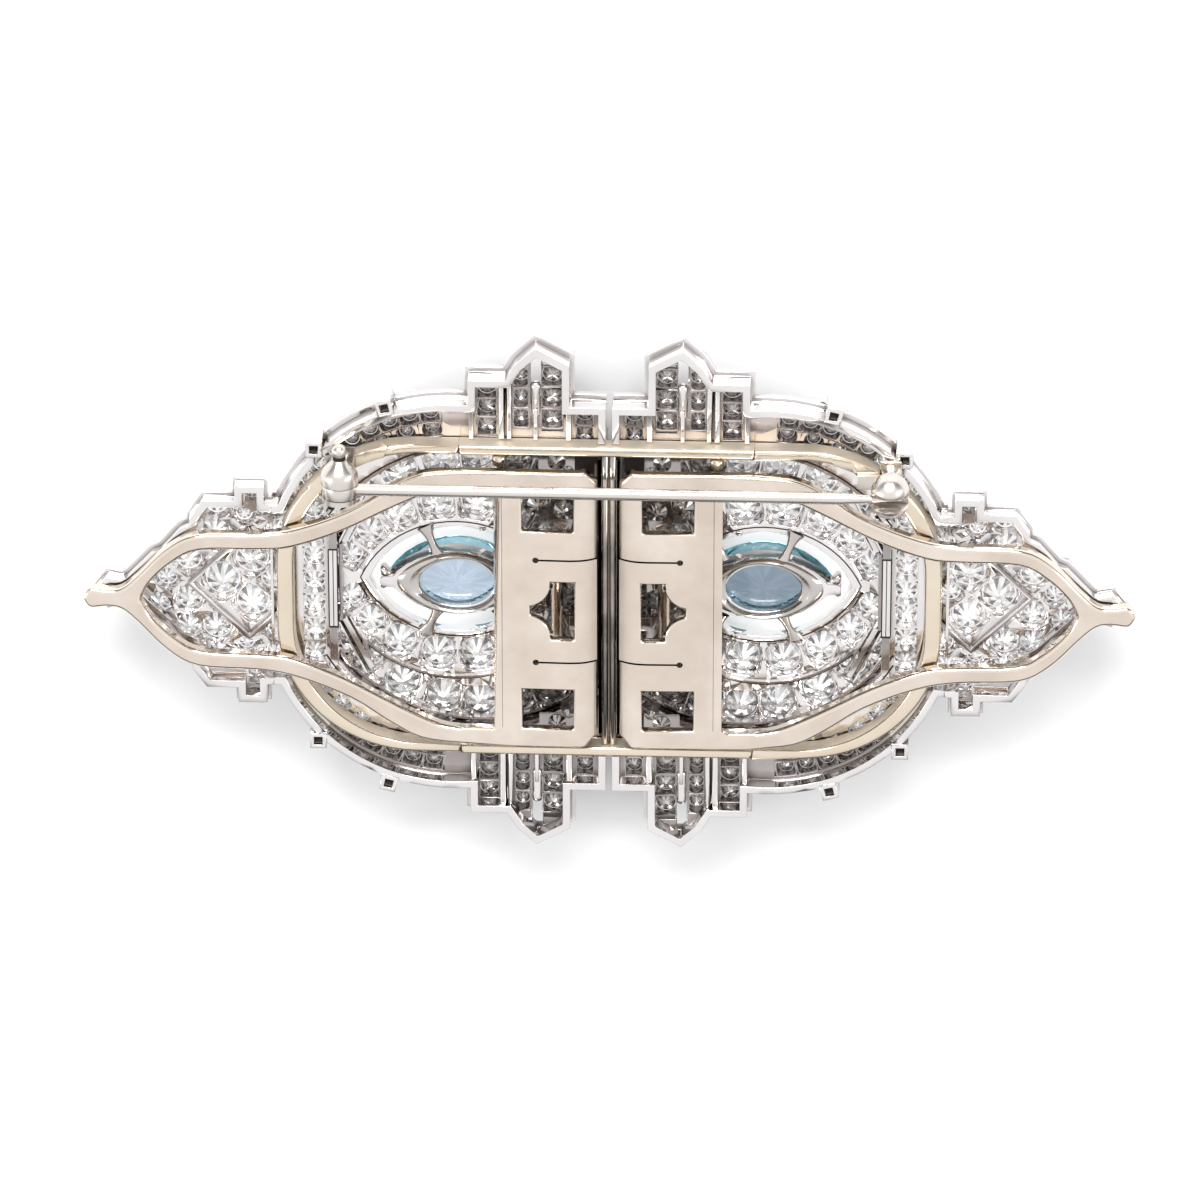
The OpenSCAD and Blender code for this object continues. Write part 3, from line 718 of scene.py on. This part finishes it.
def cup(x, y, r, girdle, top, turn, half_u, half_v, mirror, steps=28):
    """A square cup that holds one small stone in its channel, open in front and behind."""
    rings = []
    for k in range(steps):
        a = 2 * math.pi * (k + 0.5) / steps
        ca, sa = max(abs(math.cos(a - turn)), 1e-6), max(abs(math.sin(a - turn)), 1e-6)
        outer = min(half_u / ca, half_v / sa)
        mouth = min((half_u - 0.06) / ca, (half_v - 0.07) / sa, 1.22 * (r + 0.1))
        inner = r + 0.015
        corners = ((outer, girdle), (outer, top), (max(mouth, inner), top), (inner, girdle))
        rings.append([point(x + reach * math.cos(a), y + reach * math.sin(a), z, mirror)
                      for reach, z in corners])
    return skin(rings, closed=True)


def cups(side):
    mirror = mirror_of(side)
    parts = []
    for field in ("rim_stones", "arm_stones", "centre_stones"):
        for low, r in stones_of(f"{side}_{field}"):
            x, y, r = mirror * low.x / MM, low.y / MM, r / MM
            girdle = low.z / MM + TABLE_TO_GIRDLE * r + 0.04
            if field == "rim_stones":
                column = [c for c in COLUMNS if abs(x - c[0]) < 0.05 and abs(y) > 11]
                if column:
                    top, turn, half_u, half_v = 4.1, 0.0, column[0][1], column[0][2]
                else:
                    dx, dy = x - RIM_ARC[0], y - (1 if y > 0 else -1) * RIM_ARC[1]
                    top, turn, half_u = 4.12, math.atan2(dy, dx), r + 0.06
                    half_v = 0.70 if math.hypot(dx, dy) > 10.6 else 0.885
            elif field == "arm_stones" and x > ARM_X:
                top, turn, half_u, half_v = 3.38, 0.0, 0.76, 0.875
            elif field == "centre_stones" and x > SEAM_X:
                top, turn, half_u, half_v = 2.4, 0.0, 0.66, 0.87
            else:
                continue
            parts.append(cup(x, y, r, girdle, top, turn, half_u, half_v, mirror))
    return parts


def basket_ring(side):
    """The polished, domed ring behind the gem, with its flared struts and the end of its claw."""
    mirror = mirror_of(side)
    profile = [(-0.4, 2.3), (-0.26, 2.66), (-0.06, 3.0), (0.14, 3.22), (0.4, 3.36), (0.62, 3.3), (0.78, 3.12),
               (0.88, 3.15), (1.0, 3.0), (1.0, 2.66), (0.3, 2.4)]
    steps, rings = 60, []
    for k in range(steps):
        a = 2 * math.pi * k / steps
        ca, sa = math.cos(a), math.sin(a)
        blunt = abs(ca) ** 5
        outer = Vector((3.55 * ca + 0.45 * blunt * (1 if ca > 0 else -1), 2.3 * sa * (1 - 0.05 * ca * ca)))
        inner = Vector((2.5 * ca, 1.78 * sa * (1 + 0.10 * ca)))
        across = [(outer.lerp(inner, share), z) for share, z in profile]
        rings.append([point(EYE_X + p.x, p.y, z, mirror) for p, z in across])
    parts = [skin(rings, closed=True)]
    for up in (-1, 1):
        for x0, x1 in ((-11.5, -12.35), (-7.5, -6.9)):
            parts.append(strut((mirror * x0, up * 2.0, 2.95), (mirror * x1, up * 3.95, 2.62)))
    parts.append(claw_end(mirror))
    return parts


def claw_end(mirror):
    """The bone-shaped end of the claw, in the eye's outer corner."""
    half = [(-3.0, 1.32), (-3.4, 1.02), (-3.8, 0.74), (-4.1, 0.52), (-4.35, 0.46), (-4.58, 0.54),
            (-4.76, 0.76), (-4.96, 0.86), (-5.14, 0.74), (-5.12, 0.4), (-5.02, 0.15)]
    outline = half + [(x, -y) for x, y in reversed(half)]
    middle = -4.4
    rings = []
    for share, z in ((0.86, 1.75), (1.0, 1.9), (1.0, 2.35), (0.93, 2.5), (0.78, 2.58)):
        rings.append([point(EYE_X + middle + (x - middle) * (0.5 + 0.5 * share), y * share,
                            z + max(0.0, x + 4.6) * 0.35, mirror) for x, y in outline])
    return skin(rings)


def strut(start, end, steps=8, sides=12):
    """A bar between two points, thin in its middle and flared at its ends."""
    a, b = Vector(start), Vector(end)
    along = (b - a).normalized()
    across = along.cross(Vector((0, 0, 1))).normalized()
    up = across.cross(along)
    turns = [2 * math.pi * k / sides for k in range(sides)]
    rings = []
    for i in range(steps + 1):
        t = i / steps
        middle, w = a.lerp(b, t), 0.27 + 0.28 * abs(2 * t - 0.9) ** 2.2
        rings.append([(middle + across * (w * math.cos(q)) + up * (0.2 * math.sin(q))) * MM for q in turns])
    return skin(rings)


def spring(side):
    """The arched strip of the flap's spring, seen through its window."""
    bends = (-1.5, -1.0, -0.5, 0, 0.5, 1.0, 1.5)
    below, above = ([(0.42 * math.sin(a), 2.62 + up * 0.24 * math.cos(a)) for a in bends] for up in (0, 1))
    section = above + below[::-1]
    rings = [[point(-3.58 + x, y, z, mirror_of(side)) for x, z in section] for y in (-5.0, 0.6)]
    smooth_piece(f"{side}_spring", [skin(rings)], "brooch", "gold_edge", 50)


INNER_ROW = [9.35, 9.4, 9.6, 9.75, 9.72, 9.5]  # radii of the rail between the two rows of stones
# the grooves are dark ribbons whose darkness is painted shade; the strips in darker metal are painted shade
# too
PAIRED_LINES = [  # group, path for y > 0, width, lower and upper height
    ("grooves", arc_path(OUTER_ARC, [11.72, 11.72], 150, 76), 0.11, 4.15, 4.215),
    ("rails", arc_path(OUTER_ARC, [11.12, 11.12], 150, 62), 0.16, 2.4, 2.95),
    ("rails", arc_path(INNER_ARC, INNER_ROW, 151, 62), 0.15, 2.4, 2.62),
    ("grooves", arc_path(INNER_ARC, [r + 0.17 for r in INNER_ROW], 151, 62), 0.08, 2.44, 2.475),
    # ends of the well's straight side, and the slanted rails that meet it
    ("shade_strips", [(-18.42, 2.95), (-18.42, 5.35)], 0.5, 4.15, 4.215),
    ("grooves", [(-18.72, 2.88), (-18.1, 2.88)], 0.12, 4.15, 4.22),
    ("rails", [(-18.12, 2.92), (-16.3, 6.72)], 0.12, 2.4, 3.4),
    ("rails", [(-17.78, 2.86), (-16.0, 6.5)], 0.36, 2.4, 3.0),
    ("rails", [(-17.42, 2.8), (-15.7, 6.25)], 0.1, 2.4, 2.85),
    ("grooves", [(-17.98, 2.88), (-16.18, 6.6)], 0.05, 2.9, 3.02),
    # shade in the open corner beside the seam
    ("grooves", [(-0.98, 9.7), (-2.3, 9.7)], 1.3, 4.3, 4.36),
    ("shade_strips", [(-2.3, 9.75), (-4.7, 9.75)], 1.5, 4.16, 4.225),
    ("grooves", [(-0.61, -10.2), (-0.61, 10.2)], 0.2, 4.84, 4.875),
]
SINGLE_LINES = [
    ("grooves", [(-18.73, -2.85), (-18.73, 2.85)], 0.07, 4.15, 4.215),
    ("grooves", [(-18.42, -2.85), (-18.42, 2.85)], 0.06, 4.15, 4.215),
    ("grooves", [(-18.13, -2.85), (-18.13, 2.85)], 0.07, 4.15, 4.215),
    ("shade_strips", [(-17.98, -2.85), (-17.98, 2.85)], 0.22, 2.4, 3.3),
    ("shade_strips", [(-21.75, 1.7), (-24.1, 4.05), (-28.15, 0), (-24.1, -4.05), (-21.75, -1.7)], 0.2, 3.8, 3.9),
]


def mount_lines(side):
    """Thin rails and grooves about the eye, between the rows of stones and along the well; the grooves'
    darkness and the strips of darker metal are painted shade.
    """
    mirror = mirror_of(side)
    eye = [(EYE_X + x, y) for x, y in marquise(6.47, 4.28, 24)]
    groups = {"rails": [], "grooves": [ribbon(eye, 0.09, 2.44, 2.47, mirror, closed=True)], "shade_strips": []}
    for up in (-1, 1):
        for group, path, width, z0, z1 in PAIRED_LINES:
            groups[group].append(ribbon([(x, up * y) for x, y in path], width, z0, z1, mirror))
    for group, path, width, z0, z1 in SINGLE_LINES:
        groups[group].append(ribbon(path, width, z0, z1, mirror))
    for group, material in (("rails", "platinum"), ("grooves", "painted_recess_shade"), ("shade_strips", "shaded_inner_metal")):
        flat_piece(f"{side}_{group}", groups[group], "brooch", material)


def tower_rods(side):
    profile = [(0, 0.12), (0.08, 0.26), (0.25, 0.33), (1.9, 0.33), (2.2, 0.36), (2.45, 0.3), (2.55, 0.15)]
    rods = [lathe(profile, (mirror_of(side) * -4.85, up * 13.1, 4.35), (0, up, 0)) for up in (-1, 1)]
    smooth_piece(f"{side}_tower_rods", rods, "brooch", "platinum", 50)


def peg_shades(side):
    """The insides of the hollow pegs, in a matt and darker metal: painted shade."""
    corners = [(0.285 * a, 0.285 * b) for a, b in ((-1, -1), (1, -1), (1, 1), (-1, 1))]
    shades = []
    for x, y, turn in ((-19.5, 10.85, 0.0), (-14.8, 13.98, math.radians(14))):
        c, s = math.cos(turn), math.sin(turn)
        ring = [(x + (a * c - b * s), y + (a * s + b * c)) for a, b in corners]
        for up in (-1, 1):
            points = [point(p, up * q, z, mirror_of(side)) for z in (4.41, 5.25) for p, q in ring]
            shades.append((points, [[0, 1, 2, 3], [0, 1, 5, 4], [1, 2, 6, 5], [2, 3, 7, 6], [3, 0, 4, 7]]))
    flat_piece(f"{side}_peg_shades", shades, "brooch", "peg_hollow_shade")


def mount_details(side):
    small_cups = smooth_piece(f"{side}_cups", cups(side), "brooch", "platinum", 25)
    paint_shade_inside(small_cups, "shaded_inner_metal", 9)
    smooth_piece(f"{side}_basket", basket_ring(side), "brooch", "basket_metal", 60)
    spring(side)
    mount_lines(side)
    tower_rods(side)
    peg_shades(side)


def edge_line(side):
    """A fine dark line along the flap's plate, where its broad inner edge begins: painted shade along the
    crease.
    """
    tops = {}
    for v in nodes[f"{side}_flap"].data.vertices:
        x = round(abs(v.co.x) / MM, 1)
        tops[x] = max(tops.get(x, 0), v.co.z / MM)
    line_x = 7.02
    inner = min(tops, key=lambda x: abs(x - 2.5))
    outer = max(x for x in tops if x < 36 and tops[x] > 6.5)
    top = tops[inner] + (tops[outer] - tops[inner]) * (line_x - inner) / (outer - inner)
    line = ribbon([(-line_x, -8.75), (-line_x, 8.75)], 0.06, top - 0.05, top + 0.012, mirror_of(side))
    flat_piece(f"{side}_edge_line", [line], f"{side}_flap", "shaded_inner_metal")


# Fittings of the brooch frame
CATCH = (18.6, 0, 9.42)
HINGE = (-17.5, 0, 9.5)
ALONG_Y = (0, 1, 0)


def centre_tubes():
    # the tubes are dark with painted shade of the deep gap between the flaps
    profile = [(0, 0.2), (0.05, 0.245), (22.05, 0.245), (22.1, 0.2)]
    tubes = [lathe(profile, (x, -11.05, 5.2), ALONG_Y) for x in (-0.255, 0.255)]
    smooth_piece("centre_tubes", tubes, "brooch", "shaded_seam_metal", 50)


def pin_fittings():
    """The catch's turned post and its ball, which has a slot for the pin; and the hinge's bell."""
    post = lathe([(5.3, 0.8), (5.95, 0.72), (6.3, 0.52), (7.4, 0.5), (8.2, 0.7), (8.6, 0.9)],
                 (18.6, 10.0, 0), (0, 0, 1))
    smooth_piece("catch_post", [post], "brooch", "post_gold", 60)
    front = [(8.75, 0.3), (8.8, 0.55), (8.95, 0.85), (9.15, 1.02), (9.35, 1.14), (9.5, 1.2), (9.53, 1.17)]
    rear = [(10.47, 1.23), (10.5, 1.26), (10.75, 1.25), (11.0, 1.17), (11.25, 1.04), (11.5, 0.82),
            (11.68, 0.55), (11.76, 0.25)]
    saddle = [(9.4, 1.17), (10.6, 1.21)]
    ball = [lathe(profile, CATCH, ALONG_Y, 32) for profile in (front, rear, saddle)]
    for p in ball[-1][0]:
        p.z = min(p.z, 9.04 * MM)
    smooth_piece("catch_ball", ball, "brooch", "pin_steel", 50)
    bell = lathe([(10.46, 1.17), (10.5, 1.23), (10.95, 1.24), (11.25, 1.18), (11.55, 1.02), (11.8, 0.8),
                  (12.02, 0.58), (12.2, 0.47)], HINGE, ALONG_Y, 32)
    smooth_piece("hinge_bell", [bell], "brooch", "pin_steel", 50)
    # a dark ring under the bell's head: a painted shadow
    notch = lathe([(12.18, 0.42), (12.4, 0.42)], HINGE, ALONG_Y)
    flat_piece("hinge_notch_shadow", [notch], "brooch", "painted_recess_shade")


# Cut stones
STONE_SIDES = 8
FACES_A_STONE = 1 + 9 * STONE_SIDES  # its table, then nine facets in each sector
TABLE, CROWN, GIRDLE = 0.56, 0.30, 0.05  # table's radius, and heights, in parts of the stone's radius
SEAM_STONES = (  # x, y, radius and girdle's height of stones behind the flap's windows
    (-4.85, 5.75, 0.7, 2.6), (-3.1, 5.35, 0.68, 2.6), (-3.5, 9.72, 0.6, 4.28), (-2.75, 9.05, 0.36, 4.28),
)


def brilliant(radius, centre, turn, pavilion):
    """Points and faces of a round brilliant, table down, with the middle of its girdle at the centre."""
    n = STONE_SIDES
    points = []

    def ring(r, z, count, offset):
        first = len(points)
        for i in range(count):
            a = turn + (i + offset) * 2 * math.pi / count
            points.append(centre + Vector((r * radius * math.cos(a), r * radius * math.sin(a), z * radius)))
        return first

    t = ring(TABLE, -CROWN - GIRDLE / 2, n, 0.0)
    m = ring((1 + TABLE) * 0.47, -CROWN * 0.52 - GIRDLE / 2, n, 0.5)
    g0 = ring(1.0, -GIRDLE / 2, 2 * n, 0.0)
    g1 = ring(1.0, GIRDLE / 2, 2 * n, 0.0)
    p = ring(0.34, GIRDLE / 2 + pavilion * 0.70, n, 0.5)
    tip = len(points)
    points.append(centre + Vector((0, 0, (GIRDLE / 2 + pavilion) * radius)))
    faces = [[t + i for i in range(n - 1, -1, -1)]]
    for i in range(n):
        j = (i + 1) % n
        h = (i - 1) % n
        a, b, c = 2 * i, 2 * i + 1, (2 * i + 2) % (2 * n)
        faces += [
            [t + i, t + j, m + i], [t + i, m + i, g0 + a, m + h],
            [m + i, g0 + b, g0 + a], [m + i, g0 + c, g0 + b],
            [g0 + a, g0 + b, g1 + b, g1 + a], [g0 + b, g0 + c, g1 + c, g1 + b],
            [g1 + a, g1 + b, p + i], [g1 + b, g1 + c, p + i], [p + h, g1 + a, p + i, tip],
        ]
    return points, faces


def chance_of(index):
    """A fixed number from 0 to 1 that looks random."""
    return (math.sin(index * 12.9898) * 43758.5453) % 1.0


def painted_facet_light(index):
    """Brightness of a stone's facet, painted reflections: dark and bright rays by turns behind the girdle,
    the girdle dark, the rest by chance.
    """
    chance = chance_of(index)
    sector, kind = divmod(index % FACES_A_STONE - 1, 9)
    if kind in (4, 5):
        return 0.0
    if kind == 6:
        return 0.2 * chance if (sector + index // FACES_A_STONE) % 3 else 0.6
    if kind == 7:
        return 0.85 + 0.15 * chance
    if kind == 8:
        return 0.72 + 0.28 * chance
    return 0.5 + 0.5 * chance


# stores each face's painted brightness: reflections painted on the facets
def paint_facet_light(mesh, tone_of):
    tone = mesh.attributes.new("facet", "FLOAT", "FACE")
    for face in mesh.polygons:
        tone.data[face.index].value = tone_of(face.index)


def stone_field(node):
    parts = []
    for k, (low, r) in enumerate(stones_of(node)):
        centre = Vector((low.x, low.y, low.z + TABLE_TO_GIRDLE * r))
        parts.append(brilliant(r * 0.985, centre, turn=(k * 0.37) % 0.785, pavilion=0.62))
    if node.endswith("centre_stones"):
        for x, y, r, z in SEAM_STONES:
            for up in (-1, 1):
                centre = point(x, up * y, z, mirror_of(node))
                parts.append(brilliant(r * MM, centre, turn=0.3 * x, pavilion=0.55))
    mesh = join_parts(node + "_cut", parts)
    assert len(mesh.polygons) == FACES_A_STONE * len(parts)
    paint_facet_light(mesh, painted_facet_light)
    field = new_object(node + "_cut", mesh, "brooch", "diamond", [node])
    paint_shade_inside(field, "shaded_diamond", 9)


def gem(side):
    """The pointed oval gem, table down: its rings of facets up to the girdle and on to its tip."""
    node = f"{side}_gem"
    low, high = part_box(node)
    centre_x = (low.x + high.x) / 2
    l, w = (high.x - low.x) / 2 / MM, (high.y - low.y) / 2 / MM
    top = high.z / MM
    girdle = 0.47 * top
    behind = top - girdle
    levels = [(0.56, 0.0), (0.80, 0.20 * top), (0.97, 0.38 * top), (1.0, girdle - 0.03), (1.0, girdle + 0.03),
              (0.84, girdle + 0.36 * behind), (0.55, girdle + 0.68 * behind), (0.22, girdle + 0.93 * behind)]
    points = []
    for s, z in levels:
        points += [Vector((centre_x + x * MM, y * MM, z * MM)) for x, y in marquise(l * s, w * s, 12)]
    count = len(points) // len(levels)
    faces = [list(range(count))]
    for k in range(len(levels) - 1):
        for i in range(count):
            j = (i + 1) % count
            a, b, c, d = k * count + i, k * count + j, (k + 1) * count + j, (k + 1) * count + i
            faces += [[a, b, c], [a, c, d]] if (i + k) % 2 else [[a, b, d], [b, c, d]]
    tip, last = len(points), len(points) - count
    points.append(Vector((centre_x, 0, top * MM)))
    faces += [[last + i, last + (i + 1) % count, tip] for i in range(count)]
    mesh = join_parts(node + "_cut", [(points, faces)])
    edge = mesh.attributes.new("edge", "FLOAT", "POINT")
    for v in mesh.vertices:
        edge.data[v.index].value = math.hypot((v.co.x - centre_x) / MM / l, v.co.y / MM / w)
    # painted reflections: each facet lighter or darker by chance
    paint_facet_light(mesh, chance_of)
    new_object(node + "_cut", mesh, "brooch", node, [node])


# Floor and light
def make_floor():
    t = new_tree("floor")
    t.set(Roughness=0.55, Specular_IOR_Level=0.2, Emission_Color=rgba((1, 1, 1)))
    t.feed("Base Color", t.ramp(t.noise(3, 2), [(0.3, (0.84, 0.84, 0.845)), (0.7, (0.86, 0.86, 0.865))]))
    # a pool of light painted on the floor, glowing under the openwork of each clip
    place = t.xyz(t.coords())
    squares = []
    for axis, middle, half in (("X", 0.0175, 0.0135), ("Y", 0.0, 0.0098)):
        share = t.calc("MULTIPLY_ADD", t.calc("ABSOLUTE", place[axis]), 1 / half, -middle / half)
        squares.append(t.calc("MULTIPLY", share, share))
    t.feed("Emission Strength", t.span(t.calc("ADD", *squares), 0.45, 1.0, 0.66, 0.04))
    mesh = bpy.data.meshes.new("floor")
    s = 3.0
    mesh.from_pydata([(-s, -s, 0), (s, -s, 0), (s, s, 0), (-s, s, 0)], [], [(0, 1, 2, 3)])
    mesh.materials.append(t.owner)
    floor = bpy.data.objects.new("floor", mesh)
    floor.location.z = -0.00002
    scene.collection.objects.link(floor)


def area(name, place, size, power):
    """A rectangular light, turned to the jewel."""
    data = bpy.data.lights.new(name, "AREA")
    data.shape = "RECTANGLE"
    data.size, data.size_y = size
    data.energy = power
    light = bpy.data.objects.new(name, data)
    light.location = place
    light.rotation_euler = (-Vector(place)).to_track_quat("-Z", "Y").to_euler()
    scene.collection.objects.link(light)


def make_light():
    """A tent that is white overhead, with a dark band lower down for the lines in the polish."""
    t = Tree(bpy.data.worlds.new("studio"), "Background")
    scene.world = t.owner
    t.set(Strength=1.0)
    way = t.xyz(t.coords("Generated"))
    height = t.calc("MULTIPLY_ADD", t.calc("MULTIPLY", way["X"], way["X"]), 0.5, way["Z"])
    greys = ((0.05, 0.10), (0.30, 0.05), (0.45, 0.16), (0.58, 0.30), (0.70, 0.72), (0.84, 1.0))
    between = [(at, (grey,) * 3) for at, grey in greys]
    t.feed("Color", t.ramp(height, [(0.0, (0.30, 0.30, 0.31)), *between, (1.0, (1.05, 1.05, 1.06))]))
    area("key", (-0.03, 0.54, 0.38), (0.45, 0.28), 4.8)
    area("left_strip", (-0.62, -0.05, 0.30), (0.12, 0.5), 0.9)
    area("right_strip", (0.60, 0.12, 0.34), (0.10, 0.5), 0.8)
    scene.view_settings.view_transform = "Standard"
    scene.view_settings.look = "None"
    scene.view_settings.exposure = 0.0


make_camera()
make_floor()
make_light()
for row in METAL_NODES:
    metal_piece(*row)
centre_tubes()
pin_fittings()
for side in ("left", "right"):
    for field in ("arm_stones", "centre_stones", "rim_stones"):
        stone_field(f"{side}_{field}")
    gem(side)
    mount_details(side)
    edge_line(side)
